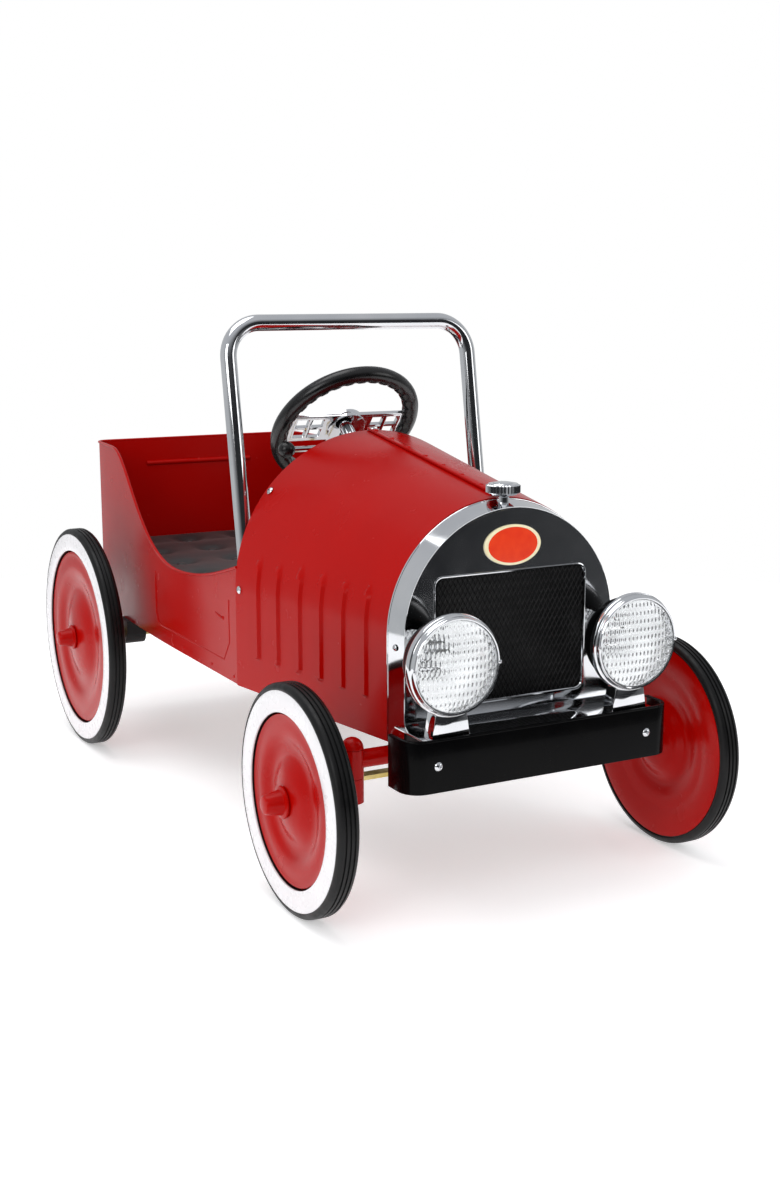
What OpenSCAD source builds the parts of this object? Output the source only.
// Pedal car for a small child: a pressed steel body on four pressed disc wheels,
// driven by two pedals through push rods and a cranked rear axle.
// Millimetres, +Z up, the bonnet faces -Y, and the car's left side is +X.
// The origin is on the floor, under the centre of the whole car.
// Lengths called stations are measured backwards from the front axle.

/* [Layout] */
// Distance between the front and rear axles
wheelbase = 584; // [490:1:710]
// Distance between the left and right tyre centre planes
track = 385; // [375:1:465]
// Height of the body's lower edge above the rear axle
rear_lift = 15; // [14:1:40]
// Height of the body's lower edge above the front axle
front_lift = 40; // [38:1:70]
// Thickness of the body's sheet steel
sheet = 1.2; // [0.8:0.1:2]

/* [Bonnet] */
// Width of the bonnet where it meets the radiator shell
nose_w = 217; // [190:1:240]
// Width of the bonnet at its rear edge
cowl_w = 294; // [270:1:354]
// Length of the bonnet
hood_len = 241; // [200:1:280]
// Height of the straight sides, where they turn into the arch
arch_h = 96; // [80:1:120]
// Number of pressed louvres on each side
louvres = 6; // [3:1:6]
// Spacing of the louvres
louvre_pitch = 34; // [28:1:36]
// Height of a louvre
louvre_h = 88; // [60:1:90]

/* [Tub] */
// Width of the tub at its rear panel
tail_w = 262; // [230:1:280]
// Height of the rear panel
tail_h = 198; // [165:1:240]
// Length of the tub behind the rear axle
tail_overhang = 116; // [90:1:120]
// Height of the tub's sides at their lowest point
scoop_h = 88; // [75:1:106]

/* [Radiator] */
// Depth of the radiator shell's wrap-round flange
shell_depth = 22; // [14:1:30]
// Width of the grille window
grille_w = 152; // [120:1:160]
// Height of the grille window
grille_h = 112; // [90:1:120]
// Length of the oval emblem
emblem_w = 57; // [40:1:70]

/* [Lamps] */
// Outer diameter of a headlamp's rim
lamp_d = 86; // [70:1:100]
// Distance between the two lamp centres
lamp_spacing = 180; // [150:1:200]
// Height of the lamp centres above the body's lower edge
lamp_h = 82; // [75:1:100]
// Lamp rim's front edge ahead of the front axle
lamp_front = 90; // [80:1:110]

/* [Bumper] */
// Overall width of the bumper
bumper_w = 266; // [240:1:280]
// Height of the bumper's face
bumper_h = 45; // [35:1:55]
// Drop of the bumper's lower edge below the body's
bumper_drop = 23; // [15:1:30]
// Bumper face ahead of the front axle
bumper_front = 86; // [80:1:100]

/* [Windscreen] */
// Diameter of the windscreen tube
screen_tube = 16; // [12:1:20]
// Height of the top of the windscreen above the body's lower edge
screen_h = 356; // [296:1:430]
// Backward lean of the windscreen
screen_lean = 9.7; // [4:0.1:15]

/* [Steering] */
// Diameter of the steering wheel
steering_d = 160; // [130:1:180]
// Thickness of the steering wheel's rim
steering_rim_d = 17; // [12:1:22]
// Slope of the steering column above horizontal
column_angle = 41; // [36:1:46]
// Diameter of the steering column
column_d = 14; // [10:1:18]
// Diameter of the kingpins
kingpin_d = 10; // [8:0.5:12]
// Length of the steering arms
steering_arm = 35; // [30:1:40]

/* [Wheels] */
// Diameter of a front wheel over its tyre
front_wheel_d = 200; // [170:1:240]
// Diameter of a rear wheel over its tyre
rear_wheel_d = 250; // [230:1:300]
// Width of the tyres
tyre_w = 20; // [16:1:26]
// Radial thickness of a tyre
tyre_h = 25; // [18:1:32]
// Diameter of the front stub axles
stub_d = 10; // [8:0.5:12]
// Diameter of the rear axle
rear_axle_d = 12; // [10:0.5:14]

/* [Pedals] */
// Radius of the rear axle's cranks
crank_r = 28; // [20:1:32]
// Sideways distance of each crank from the centre
crank_x = 30; // [28:1:36]
// Pedal pivot to push rod pin
arm_len = 70; // [60:1:80]
// Height of the pedal shaft above the body's lower edge
pedal_h = 100; // [90:1:120]
// Station of the pedal shaft
pedal_station = 100; // [90:1:120]

/* [Seat] */
// Length of the seat, front to back
seat_len = 312; // [240:1:340]
// Height of the seat pan's top face above the body's lower edge
seat_h = 50; // [30:1:65]
// Thickness of the seat cushion
cushion_h = 34; // [20:1:45]

/* [Clearances] */
// Radial gap of a shaft that turns in its hole
running = 0.05; // [0.02:0.01:0.1]
// Gap between neighbouring pieces that don't touch
gap = 0.4; // [0.2:0.1:1]

/* [Hidden] */
$fn = 96;
hair = 0.01;
lap = 0.2;

red = "#B40A05";
black = "#161616";
chrome = "#C9CCD0";
zinc = "#C8B560";
white = "#F2F1EE";

// Stations of the body
front_r = front_wheel_d / 2;
rear_r = rear_wheel_d / 2;
body_bottom = max(rear_r + rear_lift, front_r + front_lift);
arch_z = body_bottom + arch_h;
tail_top = body_bottom + tail_h;
scoop_z = body_bottom + scoop_h;
lamp_z = body_bottom + lamp_h;
bumper_z = body_bottom - bumper_drop;
screen_top = body_bottom + screen_h;
pedal_z = body_bottom + pedal_h;
seat_z = body_bottom + seat_h;
lens_bulge = 4;
screw_proud = 2;
tail_station = wheelbase + tail_overhang;
front_reach = max(front_r, lamp_front + lens_bulge, bumper_front + screw_proud);
rear_reach = max(wheelbase + rear_r, tail_station);
front_y = -(rear_reach - front_reach) / 2;
nose_station = -6;
cowl_station = nose_station + hood_len;
shell_face = nose_station - shell_depth;

// Bonnet half width at a station
function hood_hw(s) =
    nose_w / 2 + (cowl_w - nose_w) / 2 * (s - nose_station) / hood_len;

// Tub sides: they follow the bonnet, run straight, then draw in to the tail
tub_tuck = 22;
tub_start = cowl_station - tub_tuck;
tub_bend = cowl_station + 165;
tub_hw = cowl_w / 2 - sheet - gap;
tub_steps = 12;
tub_corner = 14;
tub_flange = 12;
function tub_side(s) =
    s < cowl_station ? hood_hw(s) - sheet - gap :
    s < tub_bend ? tub_hw :
    tub_hw - (tub_hw - tail_w / 2) * pow((s - tub_bend) / (tail_station - tub_bend), 2);
tub_path = concat([[tub_side(tub_start), tub_start], [tub_hw, cowl_station]],
    [for (i = [0:tub_steps])
        let (s = tub_bend + (tail_station - tub_corner - tub_bend) * i / tub_steps)
        [tub_side(s), s]],
    [[tub_side(tail_station - tub_corner), tail_station - tub_corner + lap]]);
tub_end_hw = tub_side(tail_station - tub_corner);

// Side cut-out: a curve down from the tail and a slow rise to the bonnet
scoop_shoulder = tail_station - 80;
scoop_low = cowl_station + 165;
scoop_rise = 29;
function bezier(p, t) =
    pow(1 - t, 3) * p[0] + 3 * pow(1 - t, 2) * t * p[1]
    + 3 * (1 - t) * t * t * p[2] + pow(t, 3) * p[3];
scoop_rear = [[scoop_shoulder, tail_top], [scoop_shoulder - 60, tail_top],
              [scoop_low + 120, scoop_z], [scoop_low, scoop_z]];
scoop_front = [[scoop_low, scoop_z], [scoop_low - 60, scoop_z],
               [cowl_station + 50, scoop_z + scoop_rise / 2],
               [cowl_station + gap, scoop_z + scoop_rise]];
scoop_steps = 14;

// Chassis: the rails reach into the bar behind the bumper
bumper_t = 1.5;
rail_x = 93;
rail_w = 11;
rail_z = body_bottom + 2;
rail_h = 14;
rail_front = bumper_front - bumper_t - 1;
plate_z = rail_z + 1;
plate_t = 3;

// Steering geometry, in a frame that lies along the column
// and crosses the tie rod's plane with the middle of its drop pin
wheel_station = cowl_station + 55;
wheel_z = body_bottom + 243;
drop_mid = 16.6;
hub_low = -5;
drop_arm = steering_arm * 0.614;
drop_pin_d = 6;
drop_pin_len = 26;
cross_station = steering_arm + drop_mid * cos(column_angle) - drop_arm * sin(column_angle);
col_bottom = -(wheel_station - cross_station) / cos(column_angle);
cross_z = wheel_z - (wheel_station - steering_arm) * tan(column_angle) - drop_arm / cos(column_angle);
dash_station = cowl_station - 12;
sleeve_d = column_d + 8;
sleeve_top = -20;
sleeve_bottom = -(wheel_station - dash_station) / cos(column_angle) - 7;
lever_at = -29;
lever_x = 76;
knob_d = 17;

// Front suspension
kingpin_x = track / 2 - 52;
beam_z = front_r + 27;
beam_d = 16;
kingpin_sleeve_d = 20;
kingpin_sleeve_low = front_r + 12;
kingpin_sleeve_top = front_r + 37;
arm_t = 4;
arm_z = front_r - 8;
tie_z = arm_z + arm_t + gap;
hub_len = 26;
hub_face = track / 2 + 13;
axle_end = hub_face + 8;
cap_len = 19;

// Pedal drive: the cranks lie level at rest, the left one forward
arm_swing = asin(crank_r / arm_len);
pin_drop = arm_len * cos(arm_swing);
rod_w = 8;
arm_gap = 1.5;
arm_x = crank_x + rod_w / 2 + arm_gap;
pad_reach = arm_len + 14;
pad_w = 42;
pedal_arm_t = 5;

module at_station(s, x = 0, z = 0) translate([x, front_y + s, z]) children();
module both_sides() { children(); mirror([1, 0, 0]) children(); }
module along_x(d, x0, x1) translate([x0, 0, 0]) rotate([0, 90, 0]) cylinder(d = d, h = x1 - x0);
module along_y(d, y0, y1) translate([0, y1, 0]) rotate([90, 0, 0]) cylinder(d = d, h = y1 - y0);
// A side view profile, given as station and height, made w wide about x = 0
module profile(points, w) translate([-w / 2, front_y, 0]) rotate([90, 0, 90])
    linear_extrude(w) polygon(points);
// The frame that lies along the steering column, with its origin at the wheel
module column_frame() at_station(wheel_station, 0, wheel_z)
    rotate([-(90 - column_angle), 0, 0]) children();

// ---------- Body ----------

module scoop_cutter() {
    over = 40;
    rear = [for (i = [0:scoop_steps]) bezier(scoop_rear, i / scoop_steps)];
    front = [for (i = [1:scoop_steps]) bezier(scoop_front, i / scoop_steps)];
    profile(concat(rear, front,
        [[cowl_station + gap, arch_z], [tub_start - over, arch_z],
         [tub_start - over, tail_top + over], [scoop_shoulder, tail_top + over]]), cowl_w + over);
}

module tub_wall() {
    inner = [for (i = [len(tub_path) - 1:-1:0]) tub_path[i] - [sheet, 0]];
    translate([0, front_y, body_bottom]) linear_extrude(tail_top - body_bottom)
        polygon(concat(tub_path, inner));
    translate([0, front_y, body_bottom]) linear_extrude(sheet)
        polygon(concat(tub_path,
            [for (i = [len(tub_path) - 1:-1:0]) tub_path[i] - [tub_flange, 0]]));
}

module tub_corner_wall() {
    at_station(tail_station - tub_corner, tub_end_hw - tub_corner, body_bottom)
        rotate_extrude(angle = 90) translate([tub_corner - sheet, 0])
            square([sheet, tail_top - body_bottom]);
}

module tail_panel() {
    hw = tub_end_hw - tub_corner + lap;
    bead_hw = 69;
    bead_r = 3;
    bead_drop = 30;
    at_station(tail_station - sheet, -hw, body_bottom) cube([2 * hw, sheet, tail_top - body_bottom]);
    at_station(tail_station - sheet, 0, tail_top - bead_drop) along_x(bead_r * 2, -bead_hw, bead_hw);
}

module tub() color(red) union() {
    difference() {
        both_sides() tub_wall();
        scoop_cutter();
    }
    both_sides() tub_corner_wall();
    tail_panel();
}

module hood_side() {
    bottom = hood_hw(nose_station);
    top = hood_hw(cowl_station);
    translate([0, front_y, body_bottom]) linear_extrude(arch_z - body_bottom)
        polygon([[bottom - sheet, nose_station], [bottom, nose_station],
                 [top, cowl_station], [top - sheet, cowl_station]]);
    at_station(0, 0, arch_z) rotate([90, 0, 0]) rotate_extrude(angle = 90)
        polygon([[bottom - sheet, -nose_station], [bottom, -nose_station],
                 [top, -cowl_station], [top - sheet, -cowl_station]]);
}

// A turned bar that stands proud of the side, tapered at both ends
module louvre_rib(s) {
    rib_r = 4;
    tip_r = 2.6;
    proud = 2.2;
    at_station(s, hood_hw(s) - rib_r + proud, arch_z + 16 - louvre_h) rotate_extrude()
        polygon([[0, -rib_r], [tip_r, -rib_r], [rib_r, 0],
                 [rib_r, louvre_h], [tip_r, louvre_h + rib_r], [0, louvre_h + rib_r]]);
}

module hood_half() {
    first_louvre = nose_station + 33;
    half_seam = 0.1;
    difference() {
        union() {
            hood_side();
            intersection() {
                for (i = [0:louvres - 1]) louvre_rib(first_louvre + i * louvre_pitch);
                at_station(nose_station, nose_w / 2 - 12, body_bottom)
                    cube([cowl_w, hood_len, arch_z]);
            }
        }
        at_station(nose_station - 1, -half_seam, arch_z) cube([2 * half_seam, hood_len + 2, cowl_w]);
    }
}

module hood_left() color(red) hood_half();
module hood_right() color(red) mirror([1, 0, 0]) hood_half();

module hood_strip() {
    strip_w = 7;
    strip_h = 3;
    lift = 0.1;
    front = cap_station + cap_d / 2 + 2;
    z0 = arch_z + hood_hw(front) + lift;
    z1 = arch_z + hood_hw(cowl_station) + lift;
    color(red) profile([[front, z0], [cowl_station, z1],
                        [cowl_station, z1 + strip_h], [front, z0 + strip_h]], strip_w);
}

module dashboard() {
    dash_t = 2;
    dash_low = body_bottom + 160;
    r = hood_hw(dash_station) - sheet - gap / 4;
    color(red) difference() {
        intersection() {
            at_station(dash_station, 0, arch_z) along_y(2 * r, 0, dash_t);
            at_station(dash_station, -r, dash_low) cube([2 * r, dash_t, r]);
        }
        column_frame() translate([0, 0, sleeve_bottom - 40])
            cylinder(d = sleeve_d + 2 * hair, h = 120);
    }
}

module column_sleeve() color(black) column_frame() difference() {
    translate([0, 0, sleeve_bottom]) cylinder(d = sleeve_d, h = sleeve_top - sleeve_bottom);
    translate([0, 0, sleeve_bottom - 1])
        cylinder(r = column_d / 2 + running, h = sleeve_top - sleeve_bottom + 2);
}

// ---------- Radiator ----------

shell_t = 1.5;
shell_arch_z = arch_z - 3;
shell_r = nose_w / 2 - 3;
shell_back_r = nose_w / 2 + shell_t + gap;
flange_slope = (shell_back_r - shell_r) / shell_depth;
shell_low = bumper_z + bumper_h - 4;
shell_corner = 8;
grille_z = shell_arch_z - 62;

// The flange widens backwards so that the bonnet's edge sits inside it
module shell_flange() {
    low = body_bottom + 2;
    both_sides() {
        at_station(0, 0, shell_arch_z) rotate([90, 0, 0]) rotate_extrude(angle = 90)
            polygon([[shell_r - shell_t, -shell_face], [shell_r, -shell_face],
                     [shell_back_r, -nose_station], [shell_back_r - shell_t, -nose_station]]);
        translate([0, front_y, low]) linear_extrude(shell_arch_z - low)
            polygon([[shell_r - shell_t, shell_face], [shell_r, shell_face],
                     [shell_back_r, nose_station], [shell_back_r - shell_t, nose_station]]);
    }
}

module window_cut(w, h, r, deep) {
    at_station(shell_face - 1, 0, grille_z + h / 2) rotate([-90, 0, 0]) linear_extrude(deep)
        for (sx = [-1, 1], sz = [-1, 1]) {
            translate([sx * (w / 2 - r), sz * (h / 2 - r)]) circle(r);
            square([w - 2 * r, h], center = true);
            square([w, h - 2 * r], center = true);
        }
}

module shell_plate() {
    at_station(shell_face, 0, shell_arch_z) intersection() {
        along_y(2 * shell_r, 0, shell_t);
        translate([-shell_r, -1, 0]) cube([2 * shell_r, shell_t + 2, shell_r]);
    }
    at_station(shell_face, -shell_r, shell_low)
        cube([2 * shell_r, shell_t, shell_arch_z - shell_low]);
}

module grille_shell() color(chrome) union() {
    difference() {
        shell_plate();
        window_cut(grille_w, grille_h, shell_corner, shell_t + 2);
    }
    shell_flange();
}

module grille_mesh() {
    border = 4;
    mesh_t = 2;
    color(black) at_station(shell_face + shell_t + hair, -grille_w / 2 - border, grille_z - border)
        cube([grille_w + 2 * border, mesh_t, grille_h + 2 * border]);
}

module emblem() {
    emblem_z = shell_arch_z + 73;
    emblem_t = 1.6;
    aspect = 0.62;
    color("#E0451C") at_station(shell_face - hair, 0, emblem_z) rotate([90, 0, 0])
        linear_extrude(emblem_t) scale([1, aspect]) circle(d = emblem_w, $fn = 48);
}

cap_station = -12;
cap_d = 30;
neck_d = 11;
neck_top = shell_arch_z + nose_w / 2 + 6;

module filler_neck() {
    sunk = 12;
    over = 2;
    color(chrome) difference() {
        at_station(cap_station, 0, shell_arch_z + shell_r - sunk)
            cylinder(d = neck_d, h = neck_top - shell_arch_z - shell_r + sunk);
        at_station(0, 0, shell_arch_z) rotate([90, 0, 0]) cylinder(
            h = -shell_face + over, r1 = shell_r - shell_face * flange_slope + hair,
            r2 = shell_r - over * flange_slope + hair);
    }
}

module radiator_cap() {
    cap_h = 11;
    teeth = 30;
    tooth_d = 2;
    color(chrome) at_station(cap_station, 0, neck_top) union() {
        cylinder(d = cap_d - tooth_d, h = cap_h);
        for (i = [0:teeth - 1]) rotate(i * 360 / teeth)
            translate([cap_d / 2 - tooth_d / 2, 0, 1]) cylinder(d = tooth_d, h = cap_h - 3, $fn = 16);
    }
}

// ---------- Windscreen ----------

screen_base_z = body_bottom + 80;
screen_station = cowl_station - 3;
screen_x = tub_side(screen_station - screen_tube / 2) - sheet - gap - screen_tube / 2;
screen_bend = 34;

// A core inside the bar runs through each joint between a straight and a bend
module windscreen_frame() {
    rise = (screen_top - screen_tube / 2 - screen_base_z) / cos(screen_lean);
    leg = rise - screen_bend;
    top_hw = screen_x - screen_bend;
    core_d = screen_tube - 4;
    core_l = 2;
    color(chrome) at_station(screen_station, 0, screen_base_z) rotate([-screen_lean, 0, 0]) union() {
        both_sides() {
            translate([screen_x, 0, 0]) cylinder(d = screen_tube, h = leg);
            translate([screen_x, 0, leg - core_l]) cylinder(d = core_d, h = 2 * core_l);
            translate([screen_x - screen_bend, 0, leg]) rotate([90, 0, 0])
                rotate_extrude(angle = 90) translate([screen_bend, 0]) circle(d = screen_tube);
        }
        translate([0, 0, rise]) along_x(screen_tube, -top_hw, top_hw);
        translate([0, 0, rise]) along_x(core_d, -top_hw - core_l, top_hw + core_l);
    }
}

// ---------- Lamps ----------

rim_depth = 12;
bowl_r = lamp_d / 2 - 4;
bowl_depth = 34;
wall = 1.5;

module lamp_place() at_station(-lamp_front, lamp_spacing / 2, lamp_z) rotate([-90, 0, 0]) children();

// Profiles are radius and depth behind the rim's front edge
module lamp_bowl() color(black) lamp_place() rotate_extrude() difference() {
    translate([0, rim_depth]) intersection() {
        circle(r = bowl_r);
        square([bowl_r, bowl_depth]);
    }
    translate([0, rim_depth]) circle(r = bowl_r - wall);
}

module lamp_rim() color(chrome) lamp_place() rotate_extrude() polygon([
    [lamp_d / 2 - 5, 0], [lamp_d / 2 - 2, 0], [lamp_d / 2 - 1, 5], [lamp_d / 2, 6],
    [lamp_d / 2, rim_depth - 1], [lamp_d / 2 - 1, rim_depth - gap / 4],
    [lamp_d / 2 - 5, rim_depth - gap / 4]]);

module lamp_lens() {
    r = lamp_d / 2 - 5 - gap / 4;
    dome = (r * r + lens_bulge * lens_bulge) / (2 * lens_bulge);
    color([0.9, 0.95, 1, 0.5]) lamp_place() rotate_extrude() intersection() {
        translate([0, dome - lens_bulge]) difference() {
            circle(r = dome, $fn = 360);
            circle(r = dome - 2, $fn = 360);
        }
        translate([0, -lens_bulge]) square([r, lens_bulge + 2]);
    }
}

module lamp_reflectors() {
    r = bowl_r - wall - gap;
    color(chrome) both_sides() lamp_place() translate([0, 0, rim_depth + gap])
        rotate_extrude() difference() {
            intersection() {
                circle(r = r);
                square([r, bowl_depth - wall - 3 * gap]);
            }
            circle(r = r - wall);
        }
}

shelf_t = 1.5;
shelf_top = bumper_z + bumper_h - 1.5;
bracket_front = bumper_front - 6;

module lamp_brackets() {
    top_w = 28;
    foot_w = 36;
    bracket_d = 14;
    top_z = lamp_z - lamp_d / 2 + 6;
    color(chrome) both_sides() at_station(-bracket_front, lamp_spacing / 2, 0) difference() {
        rotate([90, 0, 0]) translate([0, 0, -bracket_d]) linear_extrude(bracket_d)
            polygon([[-foot_w / 2, shelf_top], [foot_w / 2, shelf_top],
                     [top_w / 2, top_z], [-top_w / 2, top_z]]);
        rotate([90, 0, 0]) translate([0, 0, -bracket_d - 1])
            linear_extrude(bracket_d - 1) polygon([
                [-foot_w / 2 + 2, shelf_top - 1], [foot_w / 2 - 2, shelf_top - 1],
                [top_w / 2 - 2, top_z + 1], [-top_w / 2 + 2, top_z + 1]]);
        translate([0, -(lamp_front - bracket_front), lamp_z]) rotate([-90, 0, 0])
            cylinder(r = lamp_d / 2 + hair, h = 60);
    }
}

// ---------- Bumper ----------

bumper_wrap = 36;
bumper_corner = 18;

module bumper_plan(grow) {
    hw = bumper_w / 2 + grow;
    r = bumper_corner + grow;
    union() {
        for (sx = [-1, 1]) translate([sx * (hw - r), r - grow]) circle(r);
        translate([-hw + r, -grow]) square([2 * (hw - r), r]);
        translate([-hw, r - grow]) square([2 * hw, bumper_wrap - r + grow]);
    }
}

module bumper() {
    lip = 4;
    color(black) at_station(-bumper_front, 0, bumper_z) union() {
        linear_extrude(bumper_h) difference() {
            bumper_plan(0);
            difference() {
                bumper_plan(-bumper_t);
                translate([-bumper_w, bumper_wrap - hair]) square([2 * bumper_w, 2]);
            }
            translate([-bumper_w / 2 + bumper_t, bumper_corner])
                square([bumper_w - 2 * bumper_t, bumper_wrap]);
        }
        translate([0, 0, bumper_h - bumper_t]) linear_extrude(bumper_t) difference() {
            bumper_plan(0);
            difference() {
                bumper_plan(-lip);
                translate([-bumper_w, bumper_wrap - hair]) square([2 * bumper_w, 2]);
            }
            translate([-bumper_w / 2 + lip, bumper_corner])
                square([bumper_w - 2 * lip, bumper_wrap]);
        }
    }
}

module bumper_shelf() {
    edge = 5;
    shelf_hw = bumper_w / 2 - 18;
    depth = bumper_front + shell_face - edge - gap;
    color(chrome) at_station(-bumper_front + edge, -shelf_hw, shelf_top - shelf_t)
        cube([2 * shelf_hw, depth, shelf_t]);
}

// ---------- Chassis ----------

// Two rails, a front bar behind the bumper, pedal hangers and rear outriggers
module chassis_frame() {
    rear_end = tail_station - 45;
    hanger_w = 24;
    outrigger_w = 40;
    bar_t = 3;
    color(black) difference() {
        union() {
            both_sides() {
                at_station(-rail_front, rail_x - rail_w / 2, rail_z)
                    cube([rail_w, rear_end + rail_front, rail_h]);
                at_station(pedal_station - hanger_w / 2, rail_x - rail_w / 2, rail_z + rail_h - 1)
                    cube([plate_t, hanger_w, pedal_z - rail_z - rail_h + 13]);
                for (s = [cowl_station + 60, wheelbase - outrigger_w / 2])
                    at_station(s, rail_x, body_bottom + sheet + hair)
                        cube([tub_side(s + outrigger_w) - sheet - gap - rail_x, outrigger_w, plate_t]);
            }
            at_station(-bumper_front + bumper_t + hair, -bumper_w / 2 + 22, bumper_z + 8)
                cube([bumper_w - 44, bar_t, bumper_h - 14]);
            at_station(-14, -rail_x, plate_z) cube([2 * rail_x, 28, plate_t]);
            at_station(wheelbase + 48, -rail_x, plate_z) cube([2 * rail_x, 16, rail_h - 2]);
        }
        both_sides() at_station(pedal_station, rail_x - rail_w, pedal_z)
            along_x(pedal_shaft_d + 2 * hair, 0, 20);
    }
}

module seat_pan() {
    front = tail_station - sheet - gap - seat_len - 12;
    back = tail_station - sheet - gap;
    color(black) difference() {
        translate([0, front_y, seat_z - plate_t]) linear_extrude(plate_t) polygon(concat(
            [for (i = [0:8]) let (s = front + (back - tub_corner - front) * i / 8)
                [tub_side(s) - sheet - gap, s]],
            [[tub_end_hw - tub_corner, back], [-tub_end_hw + tub_corner, back]],
            [for (i = [8:-1:0]) let (s = front + (back - tub_corner - front) * i / 8)
                [-tub_side(s) + sheet + gap, s]]));
    }
    color(black) both_sides() for (s = [front + 20, wheelbase + 50])
        at_station(s, rail_x - plate_t / 2, rail_z + rail_h)
            cube([plate_t, 14, seat_z - plate_t - rail_z - rail_h]);
}

module seat_cushion() {
    soft_gap = 3;
    back = tail_station - sheet - soft_gap;
    front = back - seat_len;
    r = 16;
    w0 = tub_side(front) - sheet - soft_gap;
    w1 = tub_end_hw - sheet - soft_gap;
    color("#1B1A1C") at_station(0, 0, seat_z + 0.3) linear_extrude(cushion_h) polygon([
        [-w0 + r, front], [w0 - r, front], [w0, front + r], [w1, back - r], [w1 - r, back],
        [-w1 + r, back], [-w1, back - r], [-w0, front + r]]);
}

block_x = tub_side(wheelbase) - tub_flange / 2;
block_w = 24;

module rear_bearing_blocks() {
    block_l = 34;
    block_top = body_bottom - hair;
    color(black) both_sides() difference() {
        union() {
            at_station(wheelbase - block_l / 2, block_x - block_w / 2, rear_r)
                cube([block_w, block_l, block_top - rear_r]);
            at_station(wheelbase, block_x - block_w / 2, rear_r) along_x(block_l - 6, 0, block_w);
        }
        at_station(wheelbase, block_x - block_w, rear_r)
            along_x(rear_axle_d + 2 * running, 0, 2 * block_w);
    }
}

module front_axle_beam() color(red) difference() {
    leg_x = 62;
    union() {
        at_station(0, 0, beam_z) along_x(beam_d, -kingpin_x, kingpin_x);
        both_sides() at_station(0, kingpin_x, kingpin_sleeve_low)
            cylinder(d = kingpin_sleeve_d, h = kingpin_sleeve_top - kingpin_sleeve_low);
        both_sides() at_station(-beam_d / 2, leg_x, beam_z)
            cube([rail_x - rail_w / 2 - gap - leg_x, beam_d, plate_z - beam_z - hair]);
    }
    both_sides() at_station(0, kingpin_x, kingpin_sleeve_low - 1)
        cylinder(r = kingpin_d / 2 + running, h = 60);
}

// ---------- Pedals ----------

pedal_shaft_d = 8;

module pedal_shaft() color(zinc) union() {
    at_station(pedal_station, 0, pedal_z)
        along_x(pedal_shaft_d, -rail_x - rail_w / 2 + gap, rail_x + rail_w / 2 - gap);
    both_sides() at_station(pedal_station, rail_x - rail_w / 2 + plate_t + hair, pedal_z)
        along_x(pedal_shaft_d + 6, 0, 4);
}

module column_bracket() {
    hanger_w = column_d + 2;
    hanger_l = 24;
    low = wheel_z - (wheel_station - pedal_station) * tan(column_angle) - column_d;
    high = pedal_z + 10;
    color(black) difference() {
        at_station(pedal_station - hanger_l / 2, -hanger_w / 2, low)
            cube([hanger_w, hanger_l, high - low]);
        at_station(pedal_station, -hanger_w, pedal_z)
            along_x(pedal_shaft_d + 2 * hair, 0, 2 * hanger_w);
        column_frame() translate([0, 0, col_bottom]) cylinder(r = column_d / 2 + running, h = 300);
    }
}

// One side's arm hangs from the shaft; side is +1 left (forward at rest), -1 right
module arm_frame(side) mirror([side < 0 ? 1 : 0, 0, 0])
    at_station(pedal_station, 0, pedal_z) rotate([-side * arm_swing, 0, 0]) children();

module pedal_arm(side) {
    arm_w = 14;
    boss_d = 16;
    boss_w = 20;
    color(black) arm_frame(side) translate([arm_x, 0, 0]) difference() {
        union() {
            translate([0, -arm_w / 2, -pad_reach - 14]) cube([pedal_arm_t, arm_w, pad_reach + 14]);
            along_x(boss_d, 0, boss_w);
        }
        translate([-1, 0, 0]) along_x(pedal_shaft_d + 2 * running, 0, boss_w + 2);
    }
}

module pedal_pad(side) {
    pad_h = 34;
    pad_t = 16;
    color(black) arm_frame(side) translate([arm_x + pedal_arm_t + hair, -pad_t / 2, -pad_reach - pad_h / 2])
        cube([pad_w, pad_t, pad_h]);
}

// Push rod: an eye on the crank pin, a flat bar, and an eye beside the pedal arm
module push_rod(side) {
    eye_d = 22;
    front_eye_d = 16;
    bar_h = 10;
    bar_t = 4;
    s0 = pedal_station - side * crank_r;
    s1 = wheelbase - side * crank_r;
    z0 = pedal_z - pin_drop;
    z1 = rear_r;
    slope = atan2(z0 - z1, s1 - s0);
    run = norm([s1 - s0, z0 - z1]);
    color(zinc) mirror([side < 0 ? 1 : 0, 0, 0]) difference() {
        union() {
            at_station(s1, crank_x - rod_w / 2, z1) along_x(eye_d, 0, rod_w);
            at_station(s0, crank_x - rod_w / 2, z0) along_x(front_eye_d, 0, rod_w);
            at_station(s1, crank_x - bar_t / 2, z1) rotate([-slope, 0, 0])
                translate([0, -run, -bar_h / 2]) cube([bar_t, run, bar_h]);
        }
        at_station(s1, crank_x - rod_w, z1) along_x(rear_axle_d + 2 * running, 0, 2 * rod_w);
        at_station(s0, crank_x - rod_w, z0) along_x(pedal_shaft_d, 0, 2 * rod_w);
    }
}

// ---------- Steering ----------

module steering_column() color(zinc) column_frame() union() {
    translate([0, 0, col_bottom]) cylinder(d = column_d, h = hub_low - col_bottom);
    translate([0, drop_arm / 2, col_bottom + 5]) cube([column_d - 4, drop_arm, 10], center = true);
    translate([0, drop_arm, col_bottom]) cylinder(d = column_d - 4, h = 10);
    translate([0, drop_arm, col_bottom - drop_pin_len + 4]) cylinder(d = drop_pin_d, h = drop_pin_len);
}

steering_r = steering_d / 2 - steering_rim_d / 2;

module steering_rim() color(black) column_frame() rotate_extrude()
    translate([steering_r, 0]) circle(d = steering_rim_d);

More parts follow.
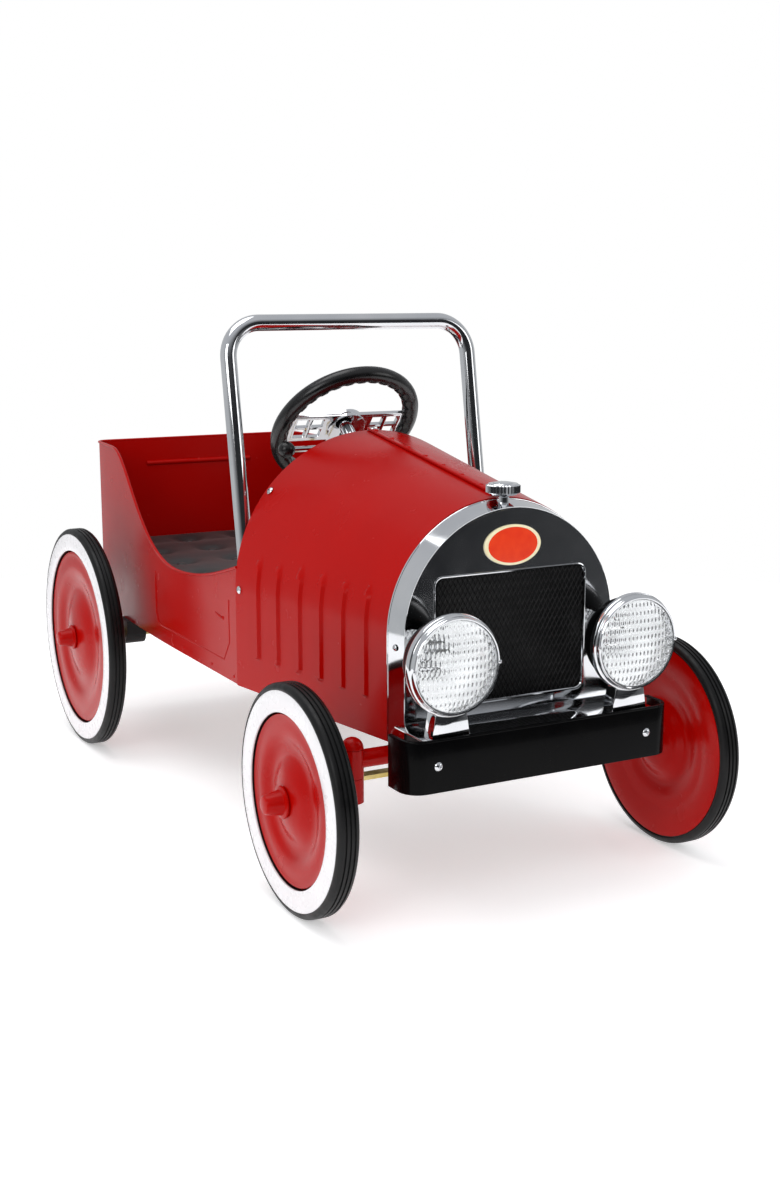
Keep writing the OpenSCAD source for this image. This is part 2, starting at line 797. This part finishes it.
// Three wide spokes with windows, on a domed hub
module steering_spokes() {
    spoke_angles = [0, 90, 180];
    spoke_w = 34;
    spoke_t = 4;
    inner = steering_r - steering_rim_d / 2 + 1;
    hub_d = 40;
    hub_top = 4;
    boss_d = 16;
    win_w = 11;
    win_l = 13;
    first_win = 27;
    color(chrome) column_frame() difference() {
        union() {
            translate([0, 0, -spoke_t / 2]) intersection() {
                for (a = spoke_angles) rotate(a) translate([0, -spoke_w / 2, 0])
                    cube([inner, spoke_w, spoke_t]);
                cylinder(r = inner, h = spoke_t);
            }
            translate([0, 0, hub_low]) cylinder(d = hub_d, h = hub_top - hub_low);
            translate([0, 0, hub_top]) cylinder(d1 = hub_d - 8, d2 = boss_d, h = 5);
        }
        for (a = spoke_angles, i = [0, 1], j = [-1, 1]) rotate(a)
            translate([first_win + i * (win_l + 4), j * (win_w + 3) / 2 - win_w / 2, -spoke_t])
                cube([win_l, win_w, 2 * spoke_t]);
        rotate_extrude() translate([steering_r, 0]) circle(d = steering_rim_d + 2 * hair);
    }
}

module shift_lever() {
    collar_d = sleeve_d + 10;
    collar_h = 10;
    color(chrome) column_frame() translate([0, 0, lever_at]) difference() {
        union() {
            cylinder(d = collar_d, h = collar_h, center = true);
            rotate([0, -90, 0]) cylinder(d = 6, h = lever_x - knob_d / 2 + 3);
        }
        cylinder(r = sleeve_d / 2 + running, h = 2 * collar_h, center = true);
    }
}

module lever_knob() color(black) column_frame() translate([-lever_x, 0, lever_at]) difference() {
    sphere(d = knob_d);
    rotate([0, 90, 0]) translate([0, 0, knob_d / 2 - 3 - hair]) cylinder(d = 6 + 2 * hair, h = knob_d);
}

// Upright kingpin, stub axle and steering arm in one forging, shown for the left
module knuckle() {
    collar_d = 18;
    arm_w = 14;
    arm_hole = drop_pin_d + 2 * running;
    color(red) difference() {
        union() {
            at_station(0, kingpin_x, arm_z) cylinder(d = kingpin_d, h = kingpin_sleeve_top - arm_z + 4);
            at_station(0, kingpin_x, front_r - 10)
                cylinder(d = kingpin_sleeve_d, h = kingpin_sleeve_low - front_r + 10 - gap);
            at_station(0, kingpin_x, kingpin_sleeve_top + gap) intersection() {
                sphere(d = kingpin_sleeve_d);
                translate([-20, -20, 0]) cube(40);
            }
            at_station(0, 0, front_r) along_x(stub_d, kingpin_x, axle_end);
            at_station(0, 0, front_r) along_x(collar_d, kingpin_x, hub_face - hub_len - gap);
            at_station(0, kingpin_x - arm_w / 2, arm_z) cube([arm_w, steering_arm, arm_t]);
            at_station(steering_arm, kingpin_x, arm_z) cylinder(d = arm_w, h = arm_t);
        }
        at_station(steering_arm, kingpin_x, arm_z - 1) cylinder(d = arm_hole, h = arm_t + 2);
    }
}

module knuckle_left() knuckle();
module knuckle_right() mirror([1, 0, 0]) knuckle();

// Flat bar with a pin in each steering arm and a fork round the drop pin
module tie_rod() {
    bar_w = 12;
    bar_t = 4;
    fork_t = 3;
    fork_w = 24;
    slot_w = drop_pin_d + 3;
    slot_low = cross_z - 11;
    fork_top = cross_z + 17;
    free_pin_d = drop_pin_d - 0.5;
    color(zinc) union() {
        at_station(steering_arm - bar_w / 2, -kingpin_x, tie_z) cube([2 * kingpin_x, bar_w, bar_t]);
        both_sides() at_station(steering_arm, kingpin_x, tie_z) cylinder(d = bar_w, h = bar_t);
        at_station(steering_arm, kingpin_x, arm_z) cylinder(d = drop_pin_d, h = tie_z - arm_z + 1);
        at_station(steering_arm, -kingpin_x, arm_z) cylinder(d = free_pin_d, h = tie_z - arm_z + 1);
        difference() {
            at_station(steering_arm - fork_t / 2, -fork_w / 2, tie_z)
                cube([fork_w, fork_t, fork_top - tie_z]);
            at_station(steering_arm - fork_t, -slot_w / 2, slot_low) cube([slot_w, 2 * fork_t, 60]);
        }
    }
}

// ---------- Wheels ----------

// A wheel stands at x = 0 with its outer face towards +X; r is its tyre radius
rim_t = 1.5;
ring_t = 1.5;
ring_lap = 6;

// Two pressed discs back to back, joined by the rim's barrel and open at the axle
module wheel_disc(r, bore) {
    rim_r = r - tyre_h;
    bore_r = bore / 2 + running;
    hub_out = hub_face - track / 2;
    hub_in = hub_out - hub_len;
    hub_r = 12;
    hub_t = 8;
    disc_t = 1.5;
    flange_r = r - ring_lap - gap / 4;
    flange_y = -tyre_w / 2 + ring_t - hair;
    face = [[hub_r, hub_out], [rim_r * 0.36, hub_out - 4.5], [rim_r * 0.52, 3],
            [rim_r * 0.6, 2.5], [rim_r * 0.82, 7.5], [rim_r * 0.95, 6]];
    last = len(face) - 1;
    back = [for (p = face) [p[0], p[1] == hub_out ? hub_in : -p[1]]];
    color(red) rotate([0, 90, 0]) rotate_extrude() polygon(concat(
        [[bore_r, hub_out]], face,
        [[rim_r, tyre_w / 2 - ring_t], [rim_r, flange_y], [flange_r, flange_y],
         [flange_r, -tyre_w / 2], [rim_r * 0.95, -tyre_w / 2]],
        [for (i = [last - 1:-1:0]) back[i]],
        [[bore_r, hub_in], [bore_r, hub_in + hub_t]],
        [for (p = back) p + [0, disc_t]],
        [[rim_r - rim_t, -4], [rim_r - rim_t, 4]],
        [for (i = [last:-1:0]) face[i] - [0, disc_t]],
        [[bore_r, hub_out - hub_t]]));
}

module wheel_tyre(r) {
    shoulder = 4;
    groove = 1;
    color(black) rotate([0, 90, 0]) rotate_extrude() difference() {
        union() {
            translate([r - tyre_h, -tyre_w / 2]) square([tyre_h - shoulder, tyre_w]);
            translate([r - tyre_h, -tyre_w / 2 + shoulder]) square([tyre_h, tyre_w - 2 * shoulder]);
            for (sy = [-1, 1]) translate([r - shoulder, sy * (tyre_w / 2 - shoulder)])
                circle(r = shoulder);
        }
        for (sy = [-1, 1]) translate([r - tyre_h, sy * tyre_w / 2 - ring_t])
            square([tyre_h - ring_lap, 2 * ring_t]);
        for (y = [-4, 0, 4]) translate([r, y]) circle(r = groove, $fn = 24);
    }
}

module wheel_ring(r) {
    rim_r = r - tyre_h;
    color(white) rotate([0, 90, 0]) rotate_extrude()
        translate([rim_r + gap / 4, tyre_w / 2 - ring_t + hair])
            square([tyre_h - ring_lap - gap / 2, ring_t]);
}

module wheel_cap(bore) {
    base_d = 22;
    tip_d = 15;
    washer_d = 28;
    washer_t = 2;
    deep = axle_end - hub_face;
    color(red) rotate([0, 90, 0]) rotate_extrude() difference() {
        union() {
            translate([0, gap]) square([washer_d / 2, washer_t]);
            translate([0, gap]) polygon([[0, 0], [base_d / 2, 0], [base_d / 2, 5],
                [tip_d / 2 + 1, cap_len - 2], [tip_d / 2 - 1, cap_len], [0, cap_len]]);
        }
        translate([-1, -1]) square([bore / 2 + hair + 1, deep + 1 + hair]);
    }
}

module front_left() at_station(0, track / 2, front_r) children();
module front_right() mirror([1, 0, 0]) front_left() children();
module rear_left() at_station(wheelbase, track / 2, rear_r) children();
module rear_right() mirror([1, 0, 0]) rear_left() children();

module front_cap() at_station(0, hub_face, front_r) wheel_cap(stub_d);

// A bent rod: straight ends in the wheels and blocks, and two cranks between
module rear_axle() {
    web = 13;
    module crank(side) mirror([side < 0 ? 1 : 0, 0, 0]) {
        pin_y = -side * crank_r;
        for (x = [crank_x - web, crank_x + web]) translate([x, 0, 0]) {
            sphere(d = rear_axle_d);
            along_y(rear_axle_d, min(0, pin_y), max(0, pin_y));
            translate([0, pin_y, 0]) sphere(d = rear_axle_d);
        }
        translate([0, pin_y, 0]) along_x(rear_axle_d, crank_x - web, crank_x + web);
        along_x(rear_axle_d, crank_x + web, axle_end);
    }
    color(zinc) at_station(wheelbase, 0, rear_r) union() {
        crank(1);
        crank(-1);
        along_x(rear_axle_d, -crank_x + web, crank_x - web);
    }
}

module rear_caps() both_sides() at_station(wheelbase, hub_face, rear_r) wheel_cap(rear_axle_d);

// ---------- Fasteners ----------

screw_r = 4.8;

// A round head that stands on z = 0
module screw_head() {
    color(chrome) translate([0, 0, screw_proud - screw_r]) intersection() {
        sphere(r = screw_r);
        translate([-screw_r, -screw_r, screw_r - screw_proud])
            cube([2 * screw_r, 2 * screw_r, screw_proud]);
    }
}

module body_screws() {
    bumper_screw_x = 105;
    cowl_screw = cowl_station - 7;
    seat_clear = 4 * (cowl_w - nose_w) / 2 / hood_len + gap / 4;
    both_sides() {
        at_station(-bumper_front - hair, bumper_screw_x, bumper_z + bumper_h / 2)
            rotate([90, 0, 0]) screw_head();
        for (a = [0, 40]) at_station(cowl_screw, 0, arch_z) rotate([0, -a, 0])
            translate([hood_hw(cowl_screw) + seat_clear, 0, 0]) rotate([0, 90, 0]) screw_head();
    }
}

tub();
hood_left();
hood_right();
hood_strip();
dashboard();
column_sleeve();
grille_shell();
grille_mesh();
emblem();
filler_neck();
radiator_cap();
windscreen_frame();
lamp_bowl();  // lamp_bowl_left
mirror([1, 0, 0]) lamp_bowl();  // lamp_bowl_right
lamp_rim();  // lamp_rim_left
mirror([1, 0, 0]) lamp_rim();  // lamp_rim_right
lamp_lens();  // lamp_lens_left
mirror([1, 0, 0]) lamp_lens();  // lamp_lens_right
lamp_reflectors();
lamp_brackets();
bumper();
bumper_shelf();
chassis_frame();
seat_pan();
seat_cushion();
rear_bearing_blocks();
front_axle_beam();
pedal_shaft();
column_bracket();
body_screws();
steering_column();
steering_rim();
steering_spokes();
shift_lever();
lever_knob();
knuckle_left();
knuckle_right();
tie_rod();
front_cap();  // front_cap_left
mirror([1, 0, 0]) front_cap();  // front_cap_right
front_left() wheel_disc(front_r, stub_d);  // front_disc_left
front_left() wheel_tyre(front_r);  // front_tyre_left
front_left() wheel_ring(front_r);  // front_whitewall_left
front_right() wheel_disc(front_r, stub_d);  // front_disc_right
front_right() wheel_tyre(front_r);  // front_tyre_right
front_right() wheel_ring(front_r);  // front_whitewall_right
rear_axle();
rear_left() wheel_disc(rear_r, rear_axle_d);  // rear_disc_left
rear_left() wheel_tyre(rear_r);  // rear_tyre_left
rear_left() wheel_ring(rear_r);  // rear_whitewall_left
rear_right() wheel_disc(rear_r, rear_axle_d);  // rear_disc_right
rear_right() wheel_tyre(rear_r);  // rear_tyre_right
rear_right() wheel_ring(rear_r);  // rear_whitewall_right
rear_caps();
pedal_arm(1);  // pedal_arm_left
pedal_arm(-1);  // pedal_arm_right
pedal_pad(1);  // pedal_pad_left
pedal_pad(-1);  // pedal_pad_right
push_rod(1);  // push_rod_left
push_rod(-1);  // push_rod_right
